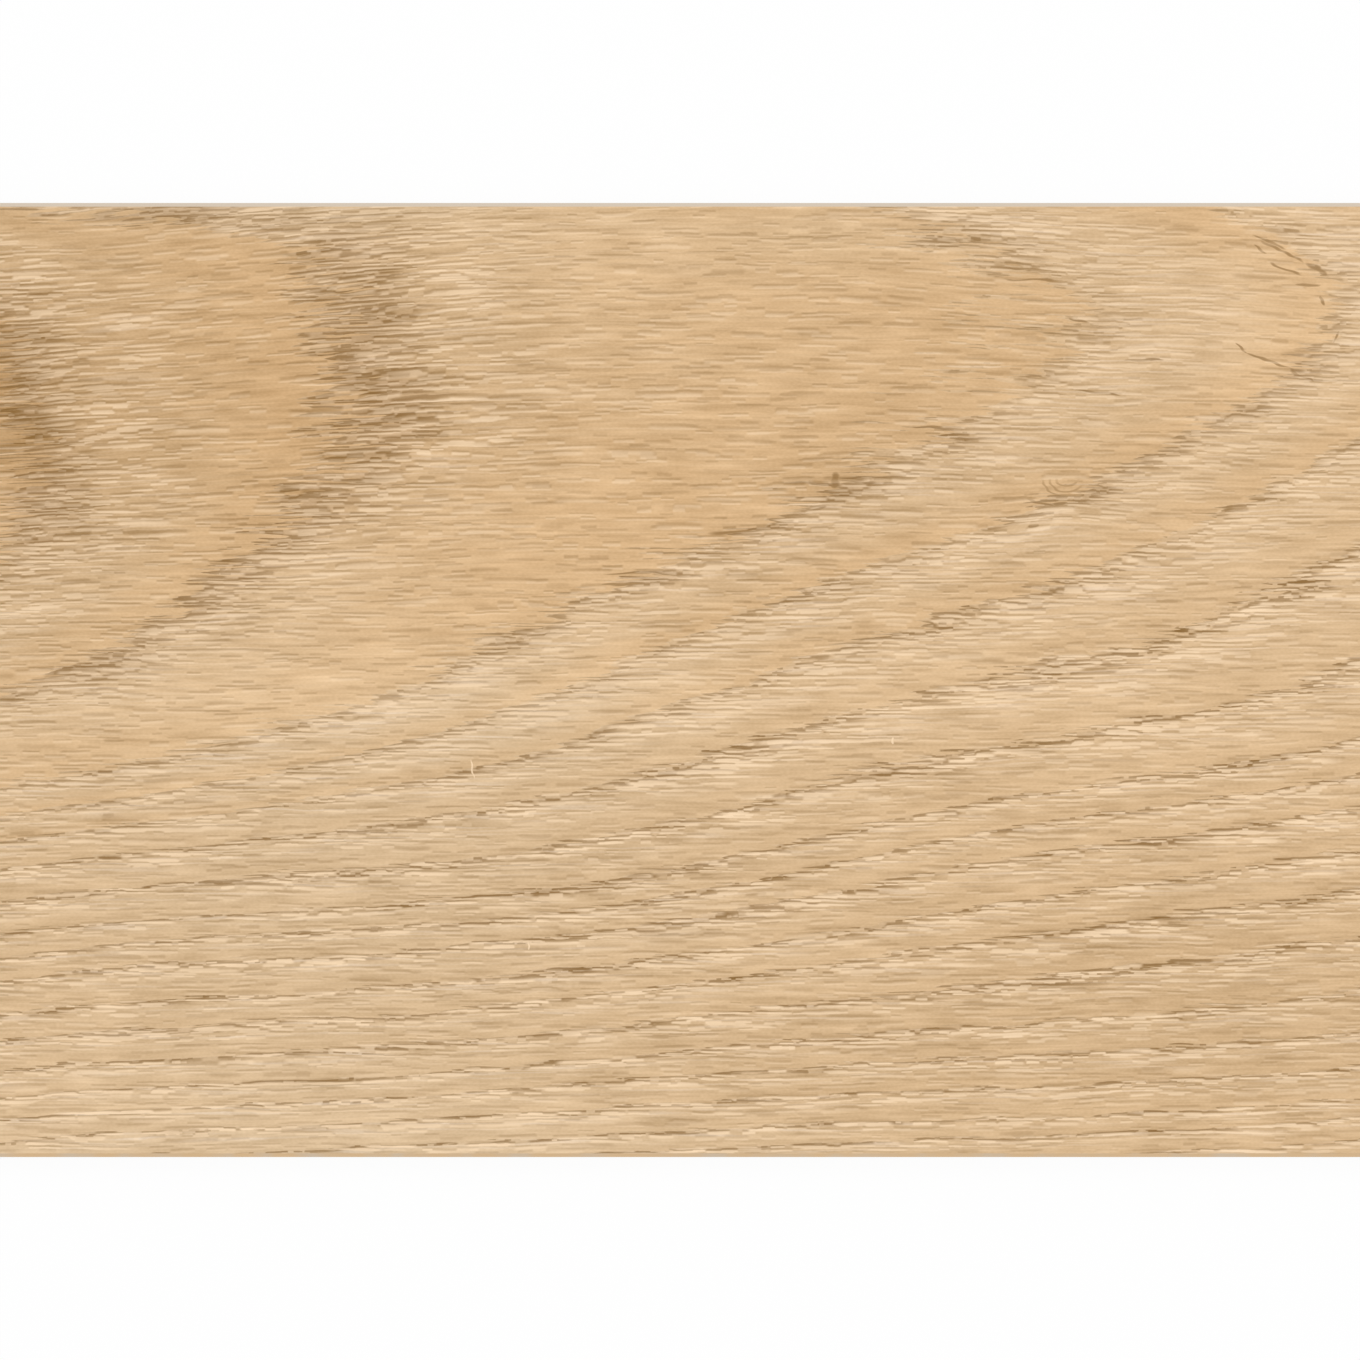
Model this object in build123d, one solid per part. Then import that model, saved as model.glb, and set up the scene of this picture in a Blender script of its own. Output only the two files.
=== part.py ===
import os
from build123d import *

os.makedirs("parts", exist_ok=True)

# Herringbone vinyl plank: one flat piece of square-edged flooring with a micro-bevel round the printed face
# Millimetres. +Z is up, X runs along the plank. The underside lies on z = 0 and is centred on the origin.

# Plank body
LENGTH = 600.0
WIDTH = 120.0
THICKNESS = 2.5

# Micro-bevel on the four edges of the printed face
BEVEL_WIDTH = 0.5
BEVEL_DEPTH = 0.3

# Body, standing on its glue face
body_align = (Align.CENTER, Align.CENTER, Align.MIN)
plank = Box(LENGTH, WIDTH, THICKNESS, align=body_align)

# The bevel runs round the printed face in one cut, so its four slopes meet in mitres at the corners
printed_face = plank.faces().sort_by(Axis.Z)[-1]
printed_edges = printed_face.edges()
plank = chamfer(printed_edges, length=BEVEL_WIDTH, length2=BEVEL_DEPTH, reference=printed_face)

vinyl_plank = Part() + plank
vinyl_plank.label = "vinyl_plank"
export_step(vinyl_plank, "parts/vinyl_plank.step")
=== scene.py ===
import math

import bpy
import numpy as np
from bpy.props import FloatProperty, FloatVectorProperty, IntProperty, PointerProperty
from bpy.types import Operator, Panel, PropertyGroup
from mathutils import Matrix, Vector


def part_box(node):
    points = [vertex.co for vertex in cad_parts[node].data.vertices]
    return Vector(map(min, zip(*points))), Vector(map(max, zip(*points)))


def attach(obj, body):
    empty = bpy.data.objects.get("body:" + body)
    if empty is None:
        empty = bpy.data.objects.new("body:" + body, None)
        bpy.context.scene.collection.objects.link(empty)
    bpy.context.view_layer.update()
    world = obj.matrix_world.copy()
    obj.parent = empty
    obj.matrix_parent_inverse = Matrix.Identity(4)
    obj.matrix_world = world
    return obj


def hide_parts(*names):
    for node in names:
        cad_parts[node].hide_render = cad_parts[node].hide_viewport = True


bl_info = {
    "name": "Herringbone Vinyl Plank",
    "version": (1, 0, 0),
    "blender": (4, 5, 0),
    "location": "3D View > Sidebar > Vinyl Plank",
    "description": "Gives the packed plank its embossed oak print, cut edges, backing and studio",
    "category": "Object",
}

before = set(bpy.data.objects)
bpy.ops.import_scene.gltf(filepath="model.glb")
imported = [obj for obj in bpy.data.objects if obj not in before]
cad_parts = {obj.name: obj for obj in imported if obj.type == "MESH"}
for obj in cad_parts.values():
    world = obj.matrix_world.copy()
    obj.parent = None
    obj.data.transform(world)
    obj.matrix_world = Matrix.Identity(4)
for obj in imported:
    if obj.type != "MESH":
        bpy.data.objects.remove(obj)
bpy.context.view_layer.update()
LOW, HIGH = (Vector(corner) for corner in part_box("vinyl_plank"))
SIZE = HIGH - LOW

# Millimetres in a metre, and how close two points lie, in metres, to count as one
MM = 1000.0
WELD = 0.00001

# Points within this many bevel widths of a side are on the rim of the face
RIM_REACH = 1.5

# Millimetres of plank to a pixel of the photograph, whose middle is the middle of the plank
PIXEL_MM = 0.126
PHOTO_MIDDLE = 680.0

# Growth rings as they cross the photograph, innermost first, each by a few points in its pixels
RING_LINES = (
    ((-60, 270), (-18, 320), (-10, 380), (0, 440), (22, 485), (30, 520), (14, 545), (-20, 570),
     (-90, 605)),
    ((-60, 208), (60, 217), (150, 221), (220, 230), (272, 240), (290, 268), (292, 305), (313, 350),
     (333, 390), (345, 425), (318, 470), (265, 518), (205, 570), (140, 622), (75, 668), (0, 702)),
    ((900, 207), (950, 240), (1030, 283), (1083, 330), (1025, 380), (935, 430), (860, 462), (830, 500),
     (745, 533), (625, 582), (510, 637), (390, 693), (280, 738), (120, 763), (0, 782)),
    ((1200, 210), (1270, 243), (1320, 278), (1337, 325), (1285, 372), (1220, 420), (1130, 465),
     (1050, 500), (960, 540), (800, 585), (660, 650), (540, 700), (410, 742), (210, 778), (0, 822)),
    ((1360, 430), (1190, 520), (1080, 575), (950, 605), (800, 660), (640, 715), (480, 762), (280, 797),
     (0, 843)),
    ((1360, 545), (1260, 590), (1080, 660), (990, 680), (850, 712), (740, 745), (660, 765), (520, 800),
     (370, 832), (180, 855), (0, 870)),
    ((1360, 650), (1300, 680), (1170, 718), (1080, 725), (870, 775), (750, 800), (620, 837), (400, 868),
     (280, 879), (100, 890), (0, 901)),
    ((1360, 735), (1180, 775), (960, 788), (800, 836), (680, 868), (560, 882), (410, 891), (270, 898),
     (0, 922)),
    ((1360, 768), (1200, 806), (1040, 826), (900, 852), (780, 880), (660, 897), (560, 908), (360, 926),
     (20, 953)),
    ((1360, 805), (1130, 840), (1000, 860), (850, 885), (760, 905), (640, 925), (500, 945), (380, 955),
     (0, 985)),
    ((1360, 845), (1230, 860), (1000, 900), (830, 925), (700, 950), (560, 972), (400, 985), (240, 990),
     (0, 1018)),
    ((1360, 895), (1250, 900), (1100, 925), (930, 950), (720, 975), (560, 996), (380, 1020), (0, 1045)),
    ((1360, 928), (1080, 970), (950, 983), (850, 995), (640, 1018), (340, 1045), (0, 1068)),
    ((1360, 990), (1160, 1008), (970, 1030), (830, 1040), (600, 1052), (250, 1080), (0, 1090)),
    ((1360, 1022), (1000, 1052), (870, 1060), (600, 1080), (250, 1104), (0, 1118)),
    ((1360, 1068), (1100, 1078), (900, 1090), (680, 1102), (400, 1118), (0, 1140)),
)

# Places where the pores are bolder: middle and reach in the photograph's pixels, then how much
BOLD_SPOTS = (
    (5, 400, 56, 110, 0.85), (62, 515, 45, 40, 0.75), (120, 400, 170, 170, 0.26),
    (340, 300, 80, 70, 0.55), (385, 400, 80, 80, 0.9), (290, 510, 90, 50, 0.7),
    (200, 585, 110, 50, 0.6), (70, 672, 110, 40, 0.6), (150, 216, 120, 16, 0.8),
    (390, 235, 80, 30, 0.5), (930, 430, 45, 20, 0.6), (840, 485, 50, 24, 0.8), (740, 533, 60, 14, 0.8),
    (640, 577, 70, 16, 0.9), (500, 640, 90, 20, 0.3), (940, 235, 70, 25, 0.3), (1050, 496, 60, 22, 0.7),
    (1140, 462, 60, 20, 0.4), (1290, 366, 60, 26, 0.6), (1215, 420, 60, 20, 0.4),
    (800, 590, 50, 15, 0.3), (1050, 588, 80, 20, 0.4), (880, 632, 60, 20, 0.3),
    (1050, 668, 130, 20, 0.5), (1260, 590, 90, 20, 0.4), (750, 747, 90, 16, 0.4),
    (1300, 680, 60, 20, 0.3), (900, 770, 90, 20, 0.4), (1240, 770, 90, 20, 0.4),
    (560, 885, 120, 16, 0.4), (700, 870, 80, 16, 0.4), (760, 905, 120, 16, 0.4),
    (1150, 840, 120, 16, 0.4), (300, 880, 120, 16, 0.3), (640, 925, 120, 14, 0.3),
    (1000, 985, 150, 14, 0.4), (800, 1042, 150, 14, 0.3), (560, 972, 120, 14, 0.3),
    (1100, 925, 120, 14, 0.3), (200, 1036, 150, 14, 0.3), (500, 1026, 150, 14, 0.3),
    (680, 930, 1500, 260, 0.2),
)

# Places where the fibres lift: middle and reach in the photograph's pixels, then millimetres
LIFT_SPOTS = (
    (490, 290, 270, 200, 2.6), (870, 260, 270, 200, 2.6), (-40, 400, 120, 160, -1.0),
    (1215, 300, 90, 90, 0.7), (1066, 520, 44, 26, 0.7),
)

# Places where the print is lighter or darker, as the lift spots
SHADE_SPOTS = (
    (-20, 380, 330, 190, -0.24), (0, 400, 60, 110, -0.13), (62, 515, 32, 40, 0.03),
    (2, 520, 26, 40, 0.18), (460, 370, 160, 110, -0.11), (900, 340, 350, 130, -0.06),
    (600, 695, 900, 45, 0.07), (150, 1130, 450, 60, 0.1), (1230, 1000, 300, 100, -0.1),
    (170, 214, 130, 14, -0.05), (345, 490, 70, 45, -0.08), (835, 485, 60, 30, -0.14),
    (735, 540, 60, 22, -0.06), (1300, 310, 130, 110, 0.075), (600, 270, 110, 80, 0.05),
    (540, 1145, 80, 25, 0.08), (100, 650, 120, 25, -0.05), (1000, 665, 300, 40, 0.03),
    (1062, 496, 32, 16, -0.08),
)

# Places where the print is greyer or, below zero, warmer
GREY_SPOTS = (
    (330, 880, 420, 260, 0.08), (120, 380, 220, 140, -0.07), (500, 480, 250, 120, -0.06),
    (820, 235, 180, 40, 0.08), (300, 1165, 600, 45, 0.1), (250, 205, 380, 30, 0.09),
    (520, 715, 180, 50, 0.05), (250, 1090, 400, 50, 0.04),
)

# Places where the dashes are fainter, as the bold ones
FAINT_SPOTS = ((1150, 340, 240, 140, 0.25), (84, 385, 50, 90, 0.2), (150, 216, 150, 40, 0.2))

# Single dark strokes: middle in the photograph's pixels, rise in degrees, length and width in millimetres
STROKES = (
    (1268, 243, -24.0, 4.9, 0.44), (1280, 252, -26.0, 6.8, 0.5), (1259, 250, -35.0, 2.2, 0.42),
    (1284, 270, -21.0, 4.8, 0.46), (1316, 270, -28.0, 3.6, 0.8), (1341, 268, 3.0, 5.0, 0.42),
    (1306, 286, -2.0, 3.6, 0.44), (1320, 302, -70.0, 1.6, 0.56), (1240, 349, -42.0, 2.2, 0.4),
    (1266, 361, -19.0, 6.4, 0.44), (1300, 376, -26.0, 4.2, 0.44), (1335, 337, 65.0, 2.0, 0.36),
    (835, 481, 86.0, 2.4, 1.3), (830, 502, 4.0, 3.2, 1.3), (812, 511, 12.0, 3.8, 0.5),
    (741, 532, 3.0, 9.0, 0.62), (928, 428, 2.0, 4.6, 0.44), (858, 484, 3.0, 5.0, 0.5),
    (1059, 504, 4.0, 2.0, 0.56), (1040, 503, -14.0, 4.6, 0.44), (1033, 526, 3.0, 1.6, 0.44),
    (1031, 281, -1.0, 8.6, 0.32), (1018, 270, -3.0, 5.6, 0.28), (1078, 321, -15.0, 3.0, 0.36),
    (1143, 361, 0.0, 5.4, 0.44), (1096, 393, -9.0, 7.0, 0.36), (641, 573, 3.0, 10.0, 0.4),
    (624, 584, 2.0, 7.0, 0.44),
)

# Single pale nicks, as the strokes
NICKS = ((529, 944, -84.0, 1.4, 0.30), (473, 769, -78.0, 2.6, 0.28), (892, 741, 88.0, 1.0, 0.44))

# How far the fine waver of the fibres moves a stroke, along and across, in millimetres
STROKE_WOBBLE = (0.3, 0.4)
# A stroke fades between these distances from its middle, where its rim is 1
STROKE_RIM = (0.1, 1.0)
STROKE_STRENGTH = 0.66
NICK_STRENGTH = 0.8

# Curled fibres round a pin knot, as a stroke, then its rings and where they fade, in its own reach
CURL = (1066, 477, 0.0, 2.2, 1.8)
CURL_TURNS = 8.4
CURL_START = 16.0
CURL_LINE = (-0.1, 1.0)
CURL_INSIDE = (0.9, 1.1)
CURL_OUTSIDE = (3.0, 3.2)
CURL_TOP = (-1.3, 0.1)
CURL_RIGHT = (0.8, 2.4)
CURL_STRENGTH = 0.46

# The log the print was taken from: its pith under the face, in millimetres
PITH_Y = 38.0
PITH_RISE = 0.06
PITH_DEPTH = 100.0
LOG_TAPER = 18.7

# How far a ring line pulls the log's rings to itself along and across, in millimetres, and how loosely
PULL_ALONG = 45.0
PULL_ACROSS = 16.0
PULL_SLACK = 0.02

# Parts in which the pull of the lines is worked out, to spare memory
PULL_PARTS = 8

# Rings beyond the photograph: how many towards the pith and the bark, and the range of their widths
RINGS_INSIDE = 8
RINGS_OUTSIDE = 19
WIDTHS_INSIDE = (2.2, 4.6)
WIDTHS_OUTSIDE = (1.5, 3.0)
RING_SEED = 3

# Pores and pale wood take this part of a ring number, but no more than this width in millimetres
PORE_PART = 0.6
PORE_WIDTH = 2.2

# Bold places on the rest of the plank: how many, and the ranges of place, reach and amount
BOLD_OTHERS = 90
BOLD_SEED = 7
BOLD_LEAST = 0.08
BOLD_HEIGHTS = (200, 1160)
BOLD_REACH_ALONG = (50, 180)
BOLD_REACH_ACROSS = (14, 60)
BOLD_AMOUNTS = (0.3, 0.9)
SEEN_COLUMNS = (-150, 1510)

# Grains of noise: length and width in millimetres, seed, then layers of finer noise
DRIFT_GRAIN = (22.0, 6.0, 1.0, 1.0)
RAGGED_GRAIN = (8.0, 0.36, 2.0, 1.0)
RING_GRAIN = (14.0, 2.4, 3.0, 2.0)
WOBBLE_GRAIN = (2.6, 0.7, 5.0)
SPREAD_GRAIN = (20.0, 1.1, 6.0)
FURROW_GRAIN = (6.0, 0.6, 14.0, 1.0)
STREAK_GRAIN = (14.0, 0.3, 15.0, 1.0)
SHADE_GRAIN = (60.0, 22.0, 16.0, 1.0)
CLUMP_GRAIN = (9.0, 1.8, 18.0, 1.0)
GRIT_GRAIN = (0.45, 0.22, 19.0)
PRESS_GRAIN = (16.0, 1.1, 21.0, 1.0)
FILM_GRAIN = (5.0, 5.0, 31.0, 2.0)
BLADE_GRAIN = (0.35, 6.0, 41.0, 2.0)
FLECK_GRAIN = (0.25, 0.25, 42.0)
MOTTLE_GRAIN = (9.0, 9.0, 51.0, 3.0)

# How far apart two seeds lie in the noise, along and across
SEED_STEP_ALONG = 13.7
SEED_STEP_ACROSS = 7.9

# Slope of the fibres, and how far the noises move them, the rings and the shade
FIBRE_SLOPE = 0.008
DRIFT_MM = 0.75
SPREAD_MM = 0.5
WOBBLE_MM = 0.13
RING_WAVER = 0.3
SHADE_WAVER = 0.13

# Parts of a ring number where each zone comes in and goes out, and how ragged the zones are
EARLY_IN = (0.0, 0.03)
EARLY_OUT = (0.06, 0.22)
EARLY_MORE = 0.3
PALE_IN = (0.03, 0.12)
PALE_OUT = (0.3, 0.75)
LATE_IN = (0.45, 1.0)
RAGGED = 0.22
RAGGED_MORE = 0.36

# Ring numbers between which the narrow outer rings begin
OUTER_RINGS = (11.0, 13.5)

# Rows of dashes: height and length of a cell in millimetres, and seed
DASH_ROWS = ((0.62, 7.0, 11.0), (0.54, 4.4, 12.0), (0.74, 9.5, 13.0))
DOT_ROW = (0.5, 2.0, 17.0)

# A dash in its cell: its middle and how far that strays, half its length and its thickness, and how much more
ROW_SHIFT = 7.618
MIDDLE_ALONG = 0.65
STRAY_ALONG = 0.3
MIDDLE_ACROSS = 0.6
STRAY_ACROSS = 0.2
HALF_LENGTH = 0.16
MORE_LENGTH = 0.26
TIP = 0.72
THICKNESS = 0.7
MORE_THICKNESS = 0.5

# Dark line and pale line of a dash: place across it and width in millimetres, then the core and rim of a
# line. The dark line is the printed pore; the pale line on its near side is partly print and partly a painted
# highlight, the wall of the pressed groove that faces the softbox
DARK_LINE = (0.12, 0.26)
PALE_LINE = (-0.16, 0.24)
LINE_CORE = 0.05
LINE_RIM = 1.2
SHARE_FADE = 0.3

# A base and the weights of the zones of the wood, where a weight may be such a pair itself
DARK_SHARE = (0.5, {"early": (0.5, {"bold": 0.3}), "pale": (0.08, {"bold": 0.4})})
PALE_SHARE = (0.36, {"early": 0.3, "pale": 0.28})
DOT_SHARE = (0.0, {"early": (0.5, {"outer": 0.3})})
GLINT_SHARE = (0.08, {"early": 0.1, "pale": 0.1})
DARK_STRENGTH = (0.27, {"outer": -0.07, "bold": 0.16, "early": (0.24, {"outer": 0.16})})
PALE_STRENGTH = (0.31, {
    "outer": -0.04, "bold": 0.05, "pale": (0.22, {"outer": 0.12}),
    "early": (0.15, {"outer": 0.14, "bold": -0.44})})
LATE_TONE = (0.0, {"late": (1.0, {"outer": -0.7})})
EARLY_TONE = (0.0, {"early": (0.05, {"bold": 0.38})})
WOOD_SHADE = (0.0, {"streak": 0.22, "grit": 0.12, "clump": 0.32, "furrow": (0.44, {"late": -0.16})})
PRESS_DEPTH = (0.0, {"early": 0.45, "furrow": (0.55, {"late": -0.3})})

# Streaks that turn pale, how pale, and how much the dashes gather in clumps
PALE_STREAKS = (-0.05, 0.3)
PALE_TONE = 0.55
CLUMPING = 1.2

# Noise that is pressed in, how many depths of the press still count as the face, and bumps in millimetres
PRESS_EDGE = (0.42, 0.72)
PRESS_ROOM = 1.5
GRAIN_BUMP = 0.08
BLADE_BUMP = 0.03
WEAVE_BUMP = 0.04
MOTTLE_BUMP = 0.03

# How a lighter or darker shade, and a greyer one, act on red, green and blue
SHADE_WARMTH = (0.85, 1.0, 1.3)
GREY_WARMTH = (-0.3, 0.1, 0.7)

# Shine of the printed film and of the bare vinyl
FILM_SHINE = 0.35
VINYL_SHINE = 0.3

# Film on the bevel: how its paleness fades, and how much more of it the far edge has for each millimetre,
# which paints light on the far bevel, the one facing the softbox, and shade on the near one
FILM_FADE = (0.4, 1.0)
BEVEL_PAINTED_LIGHT_LEAN = 0.006

# Cut edge: heights between which the backing layer ends, in millimetres, and the noise that is a fleck
BACK_LAYER = (0.36, 0.44)
FLECK_EDGE = (0.62, 0.72)

# Turns of the weave on the underside, in radians for each millimetre
WEAVE_TURN = 3.0

# Bake map: places along it of the plank's ends and bevels, then start and length of each kind of face
MAP_RUN = (0.004, 0.008, 0.992, 0.996)
FACE_BAND = (0.275, 0.72)
BACK_BAND = (0.265, -0.16)
NEAR_BAND = (0.072, 0.02)
FAR_BAND = (0.042, 0.02)
END_BAND = (0.012, 0.02)
LEFT_END = (0.48, -0.47)
RIGHT_END = (0.52, 0.47)

# How far a face's normal leans up or down to be flat, or sideways to be a side
FLAT_LEAN = 0.2
SIDE_LEAN = 0.5

# Studio, in metres: half the floor's side and its drop, the softbox and the camera's nearest sight
FLOOR_REACH = 6.0
FLOOR_DROP = 0.0001
SOFTBOX_SIZE = (1.2, 0.5)
SOFTBOX_PLACE = (0.0, 0.75, 0.75)
NEAREST_SIGHT = 0.01
FLOOR_GREY = (0.92, 0.92, 0.92)
FLOOR_GLOW = 0.93
WHITE = (1.0, 1.0, 1.0)


def linear(red, green, blue):
    """A colour as 8-bit screen values, made linear."""
    return tuple(((v / 255 + 0.055) / 1.055) ** 2.4 for v in (red, green, blue))


class PlankSizes(PropertyGroup):
    bevel_width: FloatProperty(
        name="Bevel Width", description="How far the bevel runs in over the printed face",
        default=0.0005, min=0.0, unit="LENGTH")
    bevel_depth: FloatProperty(
        name="Bevel Depth", description="How far the bevel drops below the printed face",
        default=0.0003, min=0.0, unit="LENGTH")
    emboss_depth: FloatProperty(
        name="Emboss Depth", description="Depth of the pressed grain at its deepest",
        default=0.00009, min=0.0, unit="LENGTH")
    cells_along: IntProperty(
        name="Cells Along", description="Faces of the printed face along the plank", default=200, min=8)
    cells_across: IntProperty(
        name="Cells Across", description="Faces of the printed face across the plank", default=450, min=8)


class OakColours(PropertyGroup):
    wood: FloatVectorProperty(
        name="Wood", description="Plain wood of the middle of a ring", subtype="COLOR",
        size=3, min=0.0, max=1.0, default=linear(217, 183, 140))
    late: FloatVectorProperty(
        name="Latewood", description="Smooth warm wood at the end of a ring", subtype="COLOR",
        size=3, min=0.0, max=1.0, default=linear(219, 181, 134))
    pale: FloatVectorProperty(
        name="Pale Wood", description="Light wood after the pores of a ring", subtype="COLOR",
        size=3, min=0.0, max=1.0, default=linear(228, 203, 174))
    early: FloatVectorProperty(
        name="Earlywood", description="Shade between the pores at the start of a ring", subtype="COLOR",
        size=3, min=0.0, max=1.0, default=linear(176, 143, 109))
    pore: FloatVectorProperty(
        name="Pores", description="Dark pore dashes", subtype="COLOR",
        size=3, min=0.0, max=1.0, default=linear(128, 88, 18))
    # Colour of the pale dashes and nicks, which also serves as the painted highlight beside the pores
    pale_dash_and_highlight: FloatVectorProperty(
        name="Pale Dashes", description="Light dashes along the pores", subtype="COLOR",
        size=3, min=0.0, max=1.0, default=linear(253, 223, 185))


class BodyColours(PropertyGroup):
    bevel: FloatVectorProperty(
        name="Bevel", description="Film stretched over the bevel", subtype="COLOR",
        size=3, min=0.0, max=1.0, default=linear(206, 191, 172))
    edge: FloatVectorProperty(
        name="Cut Edge", description="Cut vinyl of the four sides", subtype="COLOR",
        size=3, min=0.0, max=1.0, default=linear(196, 178, 154))
    back: FloatVectorProperty(
        name="Backing", description="Underside that takes the glue", subtype="COLOR",
        size=3, min=0.0, max=1.0, default=linear(150, 141, 130))
    fleck: FloatVectorProperty(
        name="Flecks", description="Pale flecks of filler in the cut edge", subtype="COLOR",
        size=3, min=0.0, max=1.0, default=linear(236, 228, 214))


class StudioSettings(PropertyGroup):
    lens: FloatProperty(
        name="Lens", description="Focal length of the camera", default=85.0, min=1.0, unit="CAMERA")
    view_width: FloatProperty(
        name="View Width", description="Width of the picture on the printed face",
        default=0.17093, min=0.01, unit="LENGTH")
    softbox_power: FloatProperty(
        name="Softbox", description="Power of the softbox beyond the plank's far edge",
        default=2.6, min=0.0, unit="POWER")
    sky_level: FloatProperty(
        name="Sky", description="Even light from all round", default=0.88, min=0.0)


class Num:
    """A number socket on which Python's operators add Math nodes."""

    def __init__(self, graph, socket):
        self.graph = graph
        self.socket = socket

    def __add__(self, other):
        return self.graph.math("ADD", self, other)

    __radd__ = __add__

    def __sub__(self, other):
        return self.graph.math("SUBTRACT", self, other)

    def __rsub__(self, other):
        return self.graph.math("SUBTRACT", other, self)

    def __mul__(self, other):
        return self.graph.math("MULTIPLY", self, other)

    __rmul__ = __mul__

    def __truediv__(self, other):
        return self.graph.math("DIVIDE", self, other)

    def times(self, factor, plus):
        """This number by a factor, plus another, in one node."""
        return self.graph.math("MULTIPLY_ADD", self, factor, plus)


class Graph:
    """Adds nodes to a shader or geometry tree."""

    def __init__(self, tree):
        self.tree = tree

    def feed(self, socket, value):
        if isinstance(value, Num):
            value = value.socket
        if isinstance(value, bpy.types.NodeSocket):
            self.tree.links.new(value, socket)
        elif socket.type == "RGBA" and len(value) == 3:
            socket.default_value = (*value, 1.0)
        else:
            socket.default_value = value

    def node(self, kind, settings=None, sockets=None):
        """A node of that type. Settings are set first, then the values or links of its sockets."""
        made = self.tree.nodes.new(kind)
        for name, value in (settings or {}).items():
            setattr(made, name, value)
        for name, value in (sockets or {}).items():
            self.feed(made.inputs[name], value)
        return made

    def math(self, operation, *values):
        made = self.node("ShaderNodeMath", {"operation": operation}, dict(enumerate(values)))
        return Num(self, made.outputs[0])

    def smooth(self, value, low, high, start=0.0, end=1.0):
        """The start below low, the end above high, eased between."""
        made = self.node(
            "ShaderNodeMapRange", {"interpolation_type": "SMOOTHSTEP"},
            {"Value": value, "From Min": low, "From Max": high, "To Min": start, "To Max": end})
        return Num(self, made.outputs["Result"])

    def fade(self, value, low, high):
        """1 below low, 0 above high, eased between."""
        return self.smooth(value, low, high, 1.0, 0.0)

    def dash_rows(self, x, y, row, length, seed):
        """Dashes at random in rows that high: reach along each, millimetres across it and a random number."""
        lane = self.math("FLOOR", y / row)
        place = lane.times(ROW_SHIFT, x / length)
        at = self.node("ShaderNodeCombineXYZ", None, {0: self.math("FLOOR", place), 1: lane, 2: seed})
        dice = self.node("ShaderNodeTexWhiteNoise", {"noise_dimensions": "3D"}, {"Vector": at.outputs[0]})
        axes = self.node("ShaderNodeSeparateXYZ", None, {0: dice.outputs["Color"]})
        skip, reach, chance = (Num(self, axis) for axis in axes.outputs)
        off = self.math("ABSOLUTE", skip.times(STRAY_ALONG, self.math("FRACT", place) - MIDDLE_ALONG))
        half = reach.times(MORE_LENGTH, HALF_LENGTH)
        along = self.fade(off, half * TIP, half)
        across = skip.times(STRAY_ACROSS, self.math("FRACT", y / row) - MIDDLE_ACROSS) * row
        return along, across / reach.times(MORE_THICKNESS, THICKNESS), chance

    def noise(self, x, y, along, across, seed, detail=0.0):
        """Noise from 0 to 1 with grains of that size in millimetres."""
        place_x = x.times(1.0 / along, SEED_STEP_ALONG * seed)
        place_y = y.times(1.0 / across, SEED_STEP_ACROSS * seed)
        at = self.node("ShaderNodeCombineXYZ", None, {"X": place_x, "Y": place_y})
        made = self.node(
            "ShaderNodeTexNoise", {"noise_dimensions": "2D"},
            {"Vector": at.outputs[0], "Scale": 1.0, "Detail": detail, "Roughness": 0.5})
        return Num(self, made.outputs[0])

    def ripple(self, x, y, grain):
        """Noise of that grain, as far below zero as above it."""
        return self.noise(x, y, *grain) - 0.5

    def mix(self, factor, first, second):
        made = self.node("ShaderNodeMix", {"data_type": "RGBA"}, {0: factor, 6: first, 7: second})
        return made.outputs[2]

    def shade(self, colour, amount, warmth=SHADE_WARMTH):
        """A colour made lighter or, below zero, darker and warmer by a number."""
        spread = self.node("ShaderNodeCombineXYZ", None, {0: amount, 1: amount, 2: amount})
        factor = self.node("ShaderNodeVectorMath", {"operation": "MULTIPLY_ADD"},
                           {0: spread.outputs[0], 1: warmth, 2: WHITE})
        made = self.node("ShaderNodeVectorMath", {"operation": "MULTIPLY"}, {0: colour, 1: factor.outputs[0]})
        return made.outputs[0]


def blend(zones, base, weights):
    """A base plus the zones by their weights. A weight may have a base and weights of its own."""
    total = base
    for name, weight in weights.items():
        amount = blend(zones, *weight) if isinstance(weight, tuple) else weight
        total = zones[name].times(amount, total)
    return total


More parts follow.
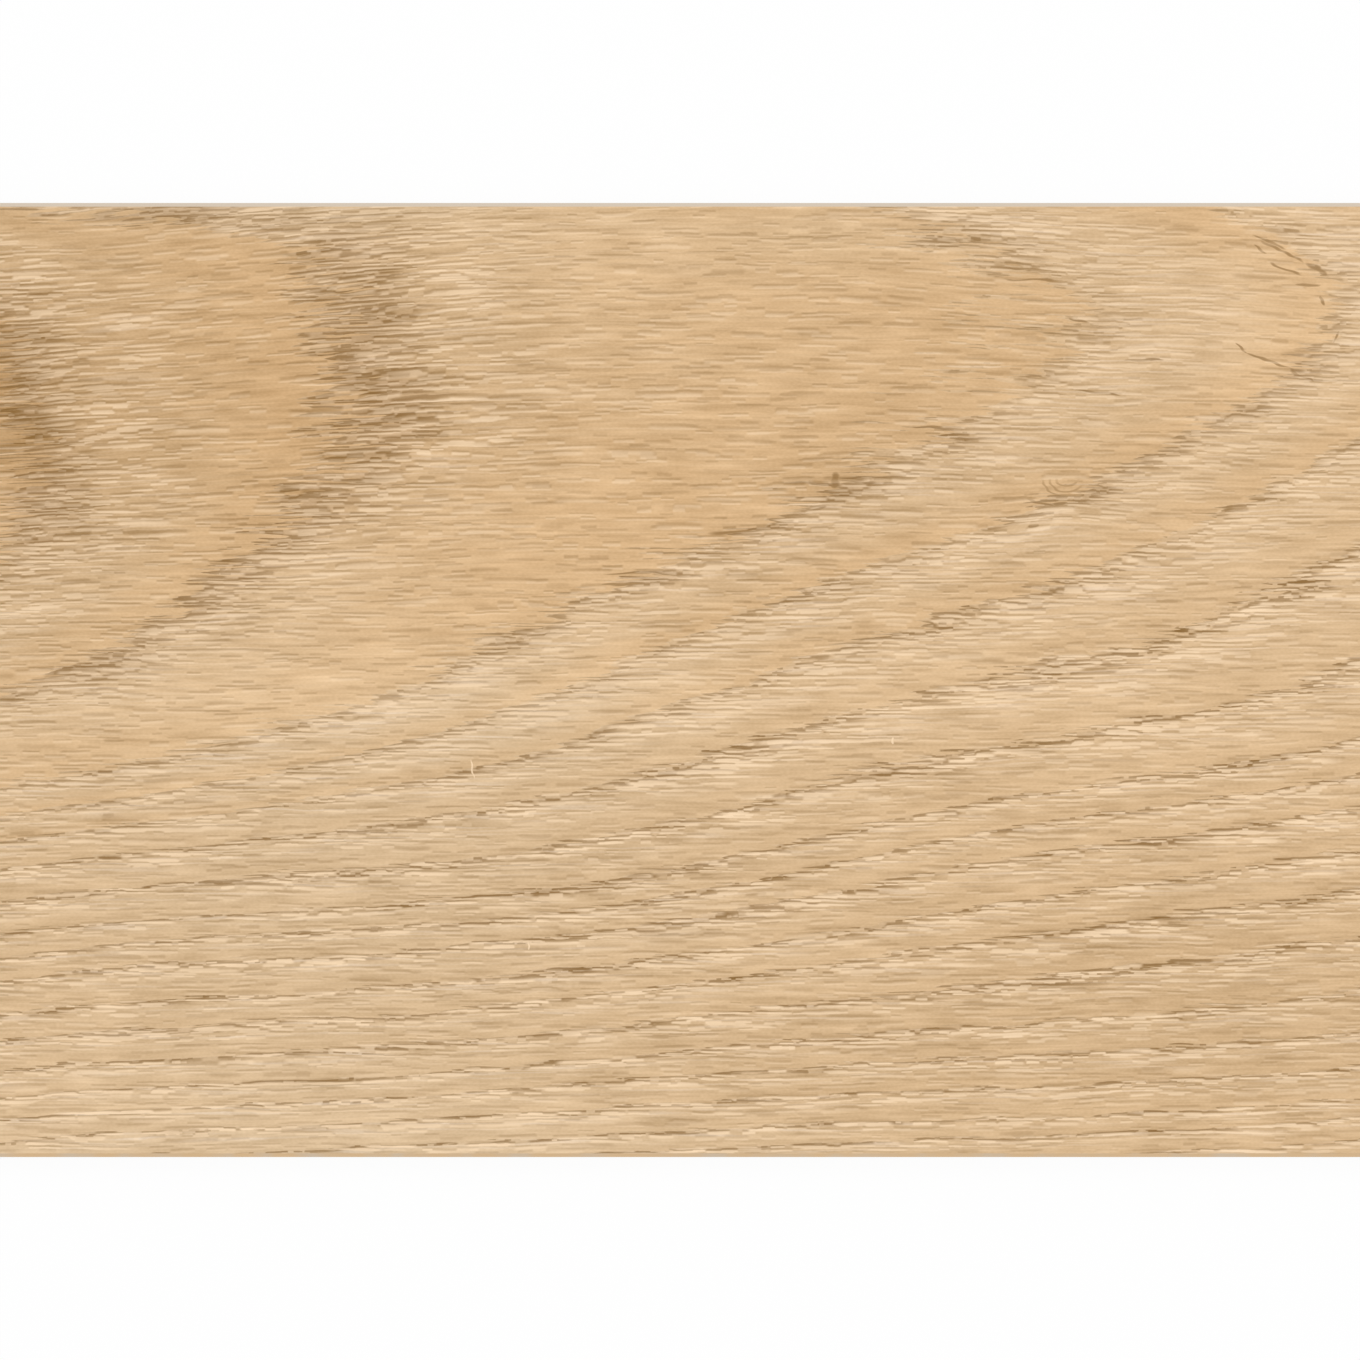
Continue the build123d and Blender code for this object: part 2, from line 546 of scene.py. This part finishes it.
def growth_rings(x, y):
    """Ring number at each place of the face in millimetres, from the log and the lines in the photograph."""
    def log_radius(px, py):
        pith = PITH_Y + PITH_RISE * px
        return np.sqrt(np.maximum((py - pith) ** 2 + LOG_TAPER * px + PITH_DEPTH ** 2, 1.0))

    def nearness(first, second):
        along = (first[:, None, 0] - second[None, :, 0]) / PULL_ALONG
        across = (first[:, None, 1] - second[None, :, 1]) / PULL_ACROSS
        return np.exp(-0.5 * (along ** 2 + across ** 2))

    def line_radius(line):
        """Radius in the log where a line crosses the photograph's middle, or at its tip if it stays short."""
        limb = line[line[:, 0].argmax():][::-1]
        middle = min(0.0, limb[-1, 0])
        return log_radius(middle, np.interp(middle, *limb.T))

    lines = [(np.array(line, float) - PHOTO_MIDDLE) * (PIXEL_MM, -PIXEL_MM) for line in RING_LINES]
    seen = [line_radius(line) for line in lines]
    places = np.concatenate(lines)
    wanted = np.repeat(seen, [len(line) for line in lines])
    off = wanted - log_radius(*places.T)
    pull = np.linalg.solve(nearness(places, places) + PULL_SLACK * np.eye(len(places)), off)
    at = np.stack([x, y], 1)
    shift = np.concatenate([nearness(part, places) @ pull for part in np.array_split(at, PULL_PARTS)])
    dice = np.random.default_rng(RING_SEED)
    inside = seen[0] - np.cumsum(dice.uniform(*WIDTHS_INSIDE, RINGS_INSIDE))[::-1]
    outside = seen[-1] + np.cumsum(dice.uniform(*WIDTHS_OUTSIDE, RINGS_OUTSIDE))
    starts = np.concatenate([inside, seen, outside])
    middles = starts[:-1] + np.minimum(PORE_PART * np.diff(starts), PORE_WIDTH)
    radii = np.concatenate([starts, middles])
    numbers = np.concatenate([np.arange(len(starts)), np.arange(len(middles)) + PORE_PART])
    order = np.argsort(radii)
    return np.interp(log_radius(x, y) + shift, radii[order], numbers[order])


def bold_places():
    """The bold places in the photograph, and others at random on the rest of the plank."""
    dice = np.random.default_rng(BOLD_SEED)
    reach = SIZE.x * MM / 2 / PIXEL_MM
    ranges = (BOLD_HEIGHTS, BOLD_REACH_ALONG, BOLD_REACH_ACROSS, BOLD_AMOUNTS)
    others = [
        (px, *(dice.uniform(*limits) for limits in ranges))
        for px in dice.uniform(PHOTO_MIDDLE - reach, PHOTO_MIDDLE + reach, BOLD_OTHERS)]
    left, right = SEEN_COLUMNS
    return BOLD_SPOTS + tuple(place for place in others if not left < place[0] < right)


def spots(x, y, places):
    """Sum of soft spots at each place of the face."""
    total = np.zeros(len(x))
    for px, py, reach_x, reach_y, amount in places:
        along = (x / PIXEL_MM + PHOTO_MIDDLE - px) / reach_x
        across = (PHOTO_MIDDLE - y / PIXEL_MM - py) / reach_y
        total += amount * np.exp(-along ** 2 - across ** 2)
    return total


def ring_zones(graph, x, fibre_y, rings, bold):
    """Earlywood, pale wood and latewood, each from 0 to 1, with edges ragged along the fibres."""
    ragged = graph.ripple(x, fibre_y, RAGGED_GRAIN)
    part = graph.math("FRACT", ragged.times(bold.times(RAGGED_MORE, RAGGED), rings))
    early_from, early_to = EARLY_OUT
    early = graph.smooth(part, *EARLY_IN) * graph.fade(part, early_from, bold.times(EARLY_MORE, early_to))
    pale = graph.smooth(part, *PALE_IN) * graph.fade(part, *PALE_OUT)
    return early, pale, graph.smooth(part, *LATE_IN)


def new_tree(name, inputs):
    """A geometry tree that gives a mesh, with these inputs by name and kind."""
    tree = bpy.data.node_groups.new(name, "GeometryNodeTree")
    tree.interface.new_socket("Geometry", in_out="OUTPUT", socket_type="NodeSocketGeometry")
    for label, kind in inputs.items():
        tree.interface.new_socket(label, in_out="INPUT", socket_type=f"NodeSocket{kind}")
    return tree


def plank_tree():
    """Geometry nodes for the closed block: face in cells, bevel, sides and underside."""
    tree = new_tree("Plank block", {
        "Length": "Float", "Width": "Float", "Thickness": "Float",
        "Bevel Width": "Float", "Bevel Depth": "Float", "Cells Along": "Int", "Cells Across": "Int",
        "Film": "Material", "Edge": "Material", "Back": "Material"})
    graph = Graph(tree)
    given = graph.node("NodeGroupInput").outputs

    def value(name):
        return Num(graph, given[name])

    half_length = value("Length") / 2.0
    half_width = value("Width") / 2.0
    inset = value("Bevel Width")
    grid = graph.node("GeometryNodeMeshGrid", None, {
        "Size X": value("Length") - inset * 2.0, "Size Y": value("Width") - inset * 2.0,
        "Vertices X": value("Cells Along") + 1.0, "Vertices Y": value("Cells Across") + 1.0})
    position = graph.node("GeometryNodeInputPosition").outputs[0]
    axes = graph.node("ShaderNodeSeparateXYZ", None, {0: position}).outputs
    x, y = Num(graph, axes[0]), Num(graph, axes[1])

    def signed_limit(number, limit):
        return graph.math("MINIMUM", graph.math("MAXIMUM", number, limit * -1.0), limit)

    def place(mesh, selection, to_x, to_y, to_z):
        target = graph.node("ShaderNodeCombineXYZ", None, {0: to_x, 1: to_y, 2: to_z}).outputs[0]
        sockets = {"Geometry": mesh, "Position": target}
        if selection is not None:
            sockets["Selection"] = selection
        return graph.node("GeometryNodeSetPosition", None, sockets).outputs[0]

    def skirt(mesh):
        faces = graph.node("GeometryNodeInputMeshEdgeNeighbors").outputs[0]
        rim = graph.node(
            "FunctionNodeCompare", {"data_type": "INT", "operation": "EQUAL"}, {2: faces, 3: 1}).outputs[0]
        made = graph.node(
            "GeometryNodeExtrudeMesh", {"mode": "EDGES"},
            {"Mesh": mesh, "Selection": rim, "Offset Scale": 0.0})
        return made.outputs["Mesh"], made.outputs["Top"], made.outputs["Side"]

    def finish(mesh, selection, material, smooth):
        shaded = graph.node(
            "GeometryNodeSetShadeSmooth", {"domain": "FACE"},
            {"Geometry": mesh, "Selection": selection, "Shade Smooth": smooth}).outputs[0]
        return graph.node(
            "GeometryNodeSetMaterial", None,
            {"Geometry": shaded, "Selection": selection, "Material": material}).outputs[0]

    # Face, still without its print
    mesh = place(grid.outputs["Mesh"], None, x, y, value("Thickness"))
    mesh = finish(mesh, True, given["Film"], True)
    # Bevel: rim points of the face go out to the full size, which mitres the corners
    mesh, rim, side = skirt(mesh)
    reach = inset * RIM_REACH
    out_x = x + graph.math("SIGN", x) * inset * graph.math(
        "GREATER_THAN", graph.math("ABSOLUTE", x), half_length - reach)
    out_y = y + graph.math("SIGN", y) * inset * graph.math(
        "GREATER_THAN", graph.math("ABSOLUTE", y), half_width - reach)
    mesh = place(mesh, rim, out_x, out_y, value("Thickness") - value("Bevel Depth"))
    mesh = finish(mesh, side, given["Film"], False)
    # Sides
    mesh, rim, side = skirt(mesh)
    mesh = place(mesh, rim, x, y, 0.0)
    mesh = finish(mesh, side, given["Edge"], False)
    # Underside: the rim is drawn in to the middle line and closed there
    mesh, rim, side = skirt(mesh)
    mesh = place(mesh, rim, signed_limit(x, half_length - half_width), 0.0, 0.0)
    mesh = graph.node("GeometryNodeMergeByDistance", None, {
        "Geometry": mesh, "Selection": rim, "Distance": WELD}).outputs[0]
    mesh = graph.node("GeometryNodeRealizeInstances", None, {"Geometry": mesh}).outputs[0]
    mesh = finish(mesh, side, given["Back"], False)
    graph.node("NodeGroupOutput", None, {"Geometry": mesh})
    return tree


def grain_tree():
    """Geometry nodes that spread the slow waves of the grain over the face, press it in and print it."""
    tree = new_tree("Pressed grain", {
        "Geometry": "Geometry", "Face Height": "Float", "Depth": "Float", "Print": "Material"})
    graph = Graph(tree)
    given = graph.node("NodeGroupInput").outputs
    position = graph.node("GeometryNodeInputPosition").outputs[0]
    axes = graph.node("ShaderNodeSeparateXYZ", None, {0: position}).outputs
    x, y = Num(graph, axes[0]) * MM, Num(graph, axes[1]) * MM
    growth, lift, bold, shade = (Num(graph, graph.node(
        "GeometryNodeInputNamedAttribute", {"data_type": "FLOAT"}, {"Name": name}).outputs[0])
        for name in ("growth", "lift", "bold", "shade"))
    drift = graph.ripple(x, y, DRIFT_GRAIN) * DRIFT_MM
    spread = graph.ripple(x, y, SPREAD_GRAIN) * SPREAD_MM
    fibre = x * FIBRE_SLOPE + lift - drift - spread
    rings = growth + graph.ripple(x, y, RING_GRAIN) * RING_WAVER
    clump = graph.ripple(x, y - fibre, CLUMP_GRAIN)
    shade = shade + graph.ripple(x, y, SHADE_GRAIN) * SHADE_WAVER
    early, _, late = ring_zones(graph, x, y - fibre, rings, bold)
    furrow = graph.smooth(graph.noise(x, y - fibre, *PRESS_GRAIN), *PRESS_EDGE)
    depth = blend({"early": early, "late": late, "furrow": furrow}, *PRESS_DEPTH)
    # The face lies above this floor before it is pressed and after
    full_depth = Num(graph, given["Depth"])
    face_floor = Num(graph, given["Face Height"]) - full_depth * PRESS_ROOM - WELD
    on_face = graph.math("GREATER_THAN", Num(graph, axes[2]), face_floor)
    drop = depth * on_face * full_depth * -1.0
    mesh = given["Geometry"]
    for name, field in (("fibre", fibre), ("rings", rings), ("clump", clump), ("shade", shade)):
        mesh = graph.node("GeometryNodeStoreNamedAttribute", {"data_type": "FLOAT", "domain": "POINT"}, {
            "Geometry": mesh, "Name": name, "Value": field}).outputs[0]
    offset = graph.node("ShaderNodeCombineXYZ", None, {"Z": drop}).outputs[0]
    mesh = graph.node("GeometryNodeSetPosition", None, {"Geometry": mesh, "Offset": offset}).outputs[0]
    mesh = graph.node("GeometryNodeRealizeInstances", None, {"Geometry": mesh}).outputs[0]
    mesh = graph.node("GeometryNodeSetMaterial", None, {
        "Geometry": mesh, "Selection": on_face, "Material": given["Print"]}).outputs[0]
    graph.node("NodeGroupOutput", None, {"Geometry": mesh})
    return tree


def run_tree(holder, tree, values):
    """The mesh that a geometry tree gives for these named inputs, as plain data."""
    modifier = holder.modifiers.new(tree.name, "NODES")
    modifier.node_group = tree
    sockets = {s.name: s.identifier for s in tree.interface.items_tree if s.in_out == "INPUT"}
    for name, value in values.items():
        modifier[sockets[name]] = value
    holder.update_tag()
    bpy.context.view_layer.update()
    mesh = bpy.data.meshes.new_from_object(holder.evaluated_get(bpy.context.evaluated_depsgraph_get()))
    holder.modifiers.remove(modifier)
    return mesh


def bake_map(mesh, bevel_width):
    """A flat map of the plank that gives the printed face most of the room, the more so across the grain."""
    points = np.empty(len(mesh.vertices) * 3, np.float32)
    mesh.vertices.foreach_get("co", points)
    corners = np.empty(len(mesh.loops), np.int32)
    mesh.loops.foreach_get("vertex_index", corners)
    faces, sides = np.empty(len(mesh.polygons), np.int32), np.empty(len(mesh.polygons) * 3, np.float32)
    mesh.polygons.foreach_get("loop_total", faces)
    mesh.polygons.foreach_get("normal", sides)
    x, y, z = ((points.reshape(-1, 3)[corners] - np.array(LOW)) / np.array(SIZE)).T
    nx, ny, nz = np.repeat(sides.reshape(-1, 3), faces, axis=0).T

    def band(place, start, length):
        return start + length * place

    inset = bevel_width / SIZE.x
    run = np.interp(x, (0.0, inset, 1.0 - inset, 1.0), MAP_RUN)
    kinds = [nz > FLAT_LEAN, nz < -FLAT_LEAN, ny < -SIDE_LEAN, ny > SIDE_LEAN, nx < -SIDE_LEAN]
    u = np.select(kinds, [run, run, run, 1.0 - run, band(y, *LEFT_END)], band(y, *RIGHT_END))
    heights = [band(y, *FACE_BAND), band(y, *BACK_BAND), band(z, *NEAR_BAND), band(z, *FAR_BAND)]
    v = np.select(kinds[:4], heights, band(z, *END_BAND))
    layer = mesh.uv_layers.new(name="OFBake")
    layer.data.foreach_set("uv", np.stack([u, v], 1).astype(np.float32).ravel())


def new_material(name):
    material = bpy.data.materials.new(name)
    material.use_nodes = True
    material.node_tree.nodes.clear()
    return material, Graph(material.node_tree)


def millimetres(graph):
    """Object coordinates along, across and up, in millimetres."""
    at = graph.node("ShaderNodeTexCoord").outputs["Object"]
    axes = graph.node("ShaderNodeSeparateXYZ", None, {0: at}).outputs
    return [Num(graph, axis) * MM for axis in axes]


def surface(graph, sockets, settings):
    """A Principled shader with these sockets linked or set, on the material's output."""
    shader = graph.node("ShaderNodeBsdfPrincipled", None, {**settings, **sockets})
    graph.node("ShaderNodeOutputMaterial", None, {"Surface": shader.outputs[0]})


def bump(graph, height):
    """A bump from heights in millimetres."""
    made = graph.node("ShaderNodeBump", None, {"Strength": 1.0, "Distance": 1.0 / MM, "Height": height})
    return made.outputs[0]


def dash_pair(graph, x, fibre_y, row, dark_share, pale_share):
    """Dark dashes in rows of that height, length and seed, and pale dashes beside them, partly print and
    partly painted highlight, each from 0 to 1.
    """
    along, across, chance = graph.dash_rows(x, fibre_y, *row)

    def lines(middle, width, share):
        off = graph.math("ABSOLUTE", across - middle)
        line = graph.fade(off, width * LINE_CORE, width * LINE_RIM)
        return along * line * graph.smooth(share - chance, 0.0, SHARE_FADE)

    return lines(*DARK_LINE, dark_share), lines(*PALE_LINE, pale_share)


def dashes(graph, x, fibre_y, zones):
    """All dark dashes and all pale dashes, the pale ones partly painted highlight, each from 0 to 1."""
    shares = blend(zones, *DARK_SHARE), blend(zones, *PALE_SHARE)
    dark, light = dash_pair(graph, x, fibre_y, DOT_ROW, blend(zones, *DOT_SHARE), blend(zones, *GLINT_SHARE))
    for row in DASH_ROWS:
        more_dark, more_light = dash_pair(graph, x, fibre_y, row, *shares)
        dark = dark + more_dark
        light = light + more_light
    return graph.math("MINIMUM", dark, 1.0), graph.math("MINIMUM", light, 1.0)


def oak_print(colours):
    """Printed oak with pore dashes, ring tones and pale dashes that are partly print and partly painted
    highlight.
    """
    material, graph = new_material("Oak print")
    x, y, _ = millimetres(graph)
    rings, fibre, bold, clump, shade, grey, press = (
        Num(graph, graph.node("ShaderNodeAttribute", {"attribute_name": name}).outputs["Fac"])
        for name in ("rings", "fibre", "bold", "clump", "shade", "grey", "press"))
    wobble = graph.ripple(x, y, WOBBLE_GRAIN)
    fibre_y = wobble.times(WOBBLE_MM, y - fibre)
    early, pale, late = ring_zones(graph, x, fibre_y, rings, bold)
    streak = graph.ripple(x, fibre_y, STREAK_GRAIN)
    furrow = graph.ripple(x, fibre_y, FURROW_GRAIN)
    zones = {
        "early": early, "pale": pale, "late": late, "bold": bold, "clump": clump,
        "outer": graph.smooth(rings, *OUTER_RINGS), "streak": streak, "furrow": furrow,
        "grit": graph.ripple(x, y, GRIT_GRAIN)}

    tone = graph.mix(blend(zones, *LATE_TONE), colours.wood, colours.late)
    tone = graph.mix(pale * graph.smooth(streak, *PALE_STREAKS) * PALE_TONE, tone, colours.pale)
    tone = graph.mix(blend(zones, *EARLY_TONE), tone, colours.early)
    tone = graph.shade(tone, shade + blend(zones, *WOOD_SHADE))
    tone = graph.shade(tone, grey, GREY_WARMTH)
    dark, light = dashes(graph, x, fibre_y, zones)
    dark = dark * press * clump.times(-CLUMPING, 1.0) * blend(zones, *DARK_STRENGTH)
    light = light * press * clump.times(CLUMPING, 1.0) * blend(zones, *PALE_STRENGTH)
    drawn, nicks = strokes(graph, x, y, wobble)
    tone = graph.mix(graph.math("MAXIMUM", dark, drawn), tone, colours.pore)
    # Pale dashes and nicks: partly print, partly a painted highlight on the lit wall of each pressed pore
    tone = graph.mix(graph.math("MAXIMUM", light, nicks), tone, colours.pale_dash_and_highlight)
    surface(graph, {
        "Base Color": tone,
        "Roughness": 0.52 + dark * 0.3 + streak * 0.2,
        "Normal": bump(graph, furrow * GRAIN_BUMP),
    }, {"Specular IOR Level": FILM_SHINE})
    return material


def strokes(graph, x, y, wobble):
    """The single dark strokes with the curl round the pin knot, and the pale nicks, by their strengths."""
    wobble_x, wobble_y = STROKE_WOBBLE
    at = graph.node("ShaderNodeCombineXYZ", None, {
        0: wobble.times(wobble_x, x), 1: wobble.times(wobble_y, y), 2: 1.0}).outputs[0]

    def row(*weights):
        made = graph.node("ShaderNodeVectorMath", {"operation": "DOT_PRODUCT"}, {0: at, 1: weights})
        return Num(graph, made.outputs["Value"])

    def from_middle(px, py, rise, length, width):
        """Places along and across a stroke, each 1 at its rim."""
        mx, my = (px - PHOTO_MIDDLE) * PIXEL_MM, (PHOTO_MIDDLE - py) * PIXEL_MM
        run, climb = math.cos(math.radians(rise)), math.sin(math.radians(rise))
        long, thin = 2.0 / length, 2.0 / width
        return (row(run * long, climb * long, -(run * mx + climb * my) * long),
                row(-climb * thin, run * thin, (climb * mx - run * my) * thin))

    def drawn(places):
        nearest = None
        for place in places:
            along, across = from_middle(*place)
            along = along * along
            distance = along.times(along, across * across)
            nearest = distance if nearest is None else graph.math("MINIMUM", nearest, distance)
        return graph.fade(nearest, *STROKE_RIM)

    along, across = from_middle(*CURL)
    reach = graph.math("SQRT", along.times(along, across * across))
    hooks = graph.smooth(graph.math("SINE", reach * CURL_TURNS - CURL_START), *CURL_LINE)
    hooks = hooks * graph.smooth(reach, *CURL_INSIDE) * graph.fade(reach, *CURL_OUTSIDE)
    hooks = hooks * graph.fade(across, *CURL_TOP) * graph.fade(along, *CURL_RIGHT)
    dark = graph.math("MAXIMUM", drawn(STROKES) * STROKE_STRENGTH, hooks * CURL_STRENGTH)
    return dark, drawn(NICKS) * NICK_STRENGTH


def bevel_film(colours, bodies):
    """The print stretched over the bevel, with painted light: paler along the far edge, which faces the
    softbox, than along the near one.
    """
    material, graph = new_material("Bevel film")
    x, y, _ = millimetres(graph)
    mottle = graph.noise(x, y, *FILM_GRAIN)
    # Painted light: the far bevel is paler and the near bevel warmer and darker, as if the softbox lit them
    tone = graph.mix(graph.smooth(mottle - y * BEVEL_PAINTED_LIGHT_LEAN, *FILM_FADE), bodies.bevel, colours.wood)
    surface(graph, {
        "Base Color": tone,
        "Roughness": 0.45 + mottle * 0.15,
    }, {"Specular IOR Level": FILM_SHINE})
    return material


def cut_edge(bodies):
    """Cut vinyl with the fine upright marks of the blade, over the thin layer of the backing."""
    material, graph = new_material("Cut edge")
    x, y, z = millimetres(graph)
    marks = graph.ripple(x + y, z, BLADE_GRAIN)
    fleck = graph.smooth(graph.noise(x + y, z, *FLECK_GRAIN), *FLECK_EDGE)
    tone = graph.mix(graph.smooth(z + marks * 0.08, *BACK_LAYER), bodies.back, bodies.edge)
    tone = graph.shade(graph.mix(fleck * 0.22, tone, bodies.fleck), marks * 0.16)
    surface(graph, {
        "Base Color": tone,
        "Roughness": 0.6 + marks * 0.2,
        "Normal": bump(graph, marks * BLADE_BUMP),
    }, {"Specular IOR Level": VINYL_SHINE})
    return material


def glue_backing(bodies):
    """Underside with a fine pressed weave that keys to glue."""
    material, graph = new_material("Glue backing")
    x, y, _ = millimetres(graph)
    weave = graph.math("SINE", (x + y) * WEAVE_TURN) * graph.math("SINE", (x - y) * WEAVE_TURN)
    mottle = graph.ripple(x, y, MOTTLE_GRAIN)
    tone = graph.shade(bodies.back, weave * 0.08 + mottle * 0.22)
    surface(graph, {
        "Base Color": tone,
        "Roughness": 0.68 + mottle * 0.2,
        "Normal": bump(graph, weave * WEAVE_BUMP + mottle * MOTTLE_BUMP),
    }, {"Specular IOR Level": VINYL_SHINE})
    return material


class PLANK_OT_board(Operator):
    """Make the embossed plank and give it its print, bevel, cut edges and backing"""

    bl_idname = "plank.board"
    bl_label = "Plank"

    def execute(self, context):
        sizes, oak, bodies = context.scene.plank_sizes, context.scene.plank_oak, context.scene.plank_bodies
        plank = bpy.data.objects.new("vinyl_plank_embossed", bpy.data.meshes.new("blank"))
        context.scene.collection.objects.link(plank)
        plank.data = run_tree(plank, plank_tree(), {
            "Length": SIZE.x, "Width": SIZE.y, "Thickness": SIZE.z,
            "Bevel Width": sizes.bevel_width, "Bevel Depth": sizes.bevel_depth,
            "Cells Along": sizes.cells_along, "Cells Across": sizes.cells_across,
            "Film": bevel_film(oak, bodies), "Edge": cut_edge(bodies), "Back": glue_backing(bodies)})
        points = np.empty(len(plank.data.vertices) * 3, np.float32)
        plank.data.vertices.foreach_get("co", points)
        points = points.reshape(-1, 3).astype(float) * MM
        x, y = points[:, 0], points[:, 1]
        for name, values in (
            ("growth", growth_rings(x, y)),
            ("lift", spots(x, y, LIFT_SPOTS)),
            ("bold", np.clip(BOLD_LEAST + spots(x, y, bold_places()), 0.0, 1.0)),
            ("shade", spots(x, y, SHADE_SPOTS)),
            ("grey", spots(x, y, GREY_SPOTS)),
            ("press", 1.0 - spots(x, y, FAINT_SPOTS)),
        ):
            layer = plank.data.attributes.new(name, "FLOAT", "POINT")
            layer.data.foreach_set("value", values.astype(np.float32))
        plank.data = run_tree(plank, grain_tree(), {
            "Face Height": SIZE.z, "Depth": sizes.emboss_depth, "Print": oak_print(oak)})
        plank.data.name = "vinyl_plank_embossed"
        bake_map(plank.data, sizes.bevel_width)
        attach(plank, "root")
        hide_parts("vinyl_plank")
        return {"FINISHED"}


class PLANK_OT_studio(Operator):
    """Lay the white floor, and set the lights and the camera that looks straight down"""

    bl_idname = "plank.studio"
    bl_label = "Studio"

    def execute(self, context):
        scene, studio = context.scene, context.scene.plank_studio
        scene.view_settings.view_transform = "Standard"
        self.lay_floor(scene)
        self.set_lights(scene, studio)
        self.set_camera(scene, studio)
        return {"FINISHED"}

    def lay_floor(self, scene):
        mesh = bpy.data.meshes.new("floor")
        corners = ((-1, -1), (1, -1), (1, 1), (-1, 1))
        points = [(x * FLOOR_REACH, y * FLOOR_REACH, -FLOOR_DROP) for x, y in corners]
        mesh.from_pydata(points, [], [(0, 1, 2, 3)])
        floor = bpy.data.objects.new("floor", mesh)
        scene.collection.objects.link(floor)
        material, graph = new_material("White floor")
        path = graph.node("ShaderNodeLightPath").outputs
        seen = graph.math("MAXIMUM", Num(graph, path["Is Camera Ray"]), Num(graph, path["Is Glossy Ray"]))
        seen = graph.math("MAXIMUM", seen, Num(graph, path["Is Transmission Ray"]))
        paper = graph.node("ShaderNodeBsdfDiffuse", None, {"Color": FLOOR_GREY})
        glow = graph.node("ShaderNodeEmission", None, {"Color": WHITE, "Strength": 1.0})
        both = graph.node(
            "ShaderNodeMixShader", None, {0: seen * FLOOR_GLOW, 1: paper.outputs[0], 2: glow.outputs[0]})
        graph.node("ShaderNodeOutputMaterial", None, {"Surface": both.outputs[0]})
        mesh.materials.append(material)

    def set_lights(self, scene, studio):
        world = bpy.data.worlds.new("Sky")
        scene.world = world
        world.use_nodes = True
        world.node_tree.nodes.clear()
        graph = Graph(world.node_tree)
        seen = Num(graph, graph.node("ShaderNodeLightPath").outputs["Is Camera Ray"])
        level = seen + (1.0 - seen) * studio.sky_level
        sky = graph.node("ShaderNodeBackground", None, {"Color": WHITE, "Strength": level})
        graph.node("ShaderNodeOutputWorld", None, {"Surface": sky.outputs[0]})
        lamp = bpy.data.lights.new("softbox", "AREA")
        lamp.shape = "RECTANGLE"
        lamp.size, lamp.size_y = SOFTBOX_SIZE
        lamp.energy = studio.softbox_power
        softbox = bpy.data.objects.new("softbox", lamp)
        scene.collection.objects.link(softbox)
        softbox.location = SOFTBOX_PLACE
        aim = Vector((0.0, 0.0, 0.0)) - softbox.location
        softbox.rotation_euler = aim.to_track_quat("-Z", "Y").to_euler()

    def set_camera(self, scene, studio):
        data = bpy.data.cameras.new("overhead")
        data.lens = studio.lens
        data.clip_start = NEAREST_SIGHT
        camera = bpy.data.objects.new("overhead", data)
        scene.collection.objects.link(camera)
        camera.location = (0.0, 0.0, HIGH.z + studio.view_width * data.lens / data.sensor_width)
        scene.camera = camera


class PLANK_PT_panel(Panel):
    bl_label = "Vinyl Plank"
    bl_idname = "PLANK_PT_panel"
    bl_space_type = "VIEW_3D"
    bl_region_type = "UI"
    bl_category = "Vinyl Plank"

    def draw(self, context):
        for title, group, operator in (
            ("Sizes", context.scene.plank_sizes, PLANK_OT_board),
            ("Oak", context.scene.plank_oak, None),
            ("Body", context.scene.plank_bodies, None),
            ("Studio", context.scene.plank_studio, PLANK_OT_studio),
        ):
            box = self.layout.box()
            box.label(text=title)
            for name in type(group).__annotations__:
                box.prop(group, name)
            if operator:
                box.operator(operator.bl_idname)


CLASSES = (
    PlankSizes, OakColours, BodyColours, StudioSettings, PLANK_OT_board, PLANK_OT_studio, PLANK_PT_panel)


def register():
    for cls in CLASSES:
        bpy.utils.register_class(cls)
    bpy.types.Scene.plank_sizes = PointerProperty(type=PlankSizes)
    bpy.types.Scene.plank_oak = PointerProperty(type=OakColours)
    bpy.types.Scene.plank_bodies = PointerProperty(type=BodyColours)
    bpy.types.Scene.plank_studio = PointerProperty(type=StudioSettings)


def unregister():
    del bpy.types.Scene.plank_studio
    del bpy.types.Scene.plank_bodies
    del bpy.types.Scene.plank_oak
    del bpy.types.Scene.plank_sizes
    for cls in reversed(CLASSES):
        bpy.utils.unregister_class(cls)


def main():
    register()
    bpy.ops.plank.board()
    bpy.ops.plank.studio()


if __name__ == "__main__":
    main()
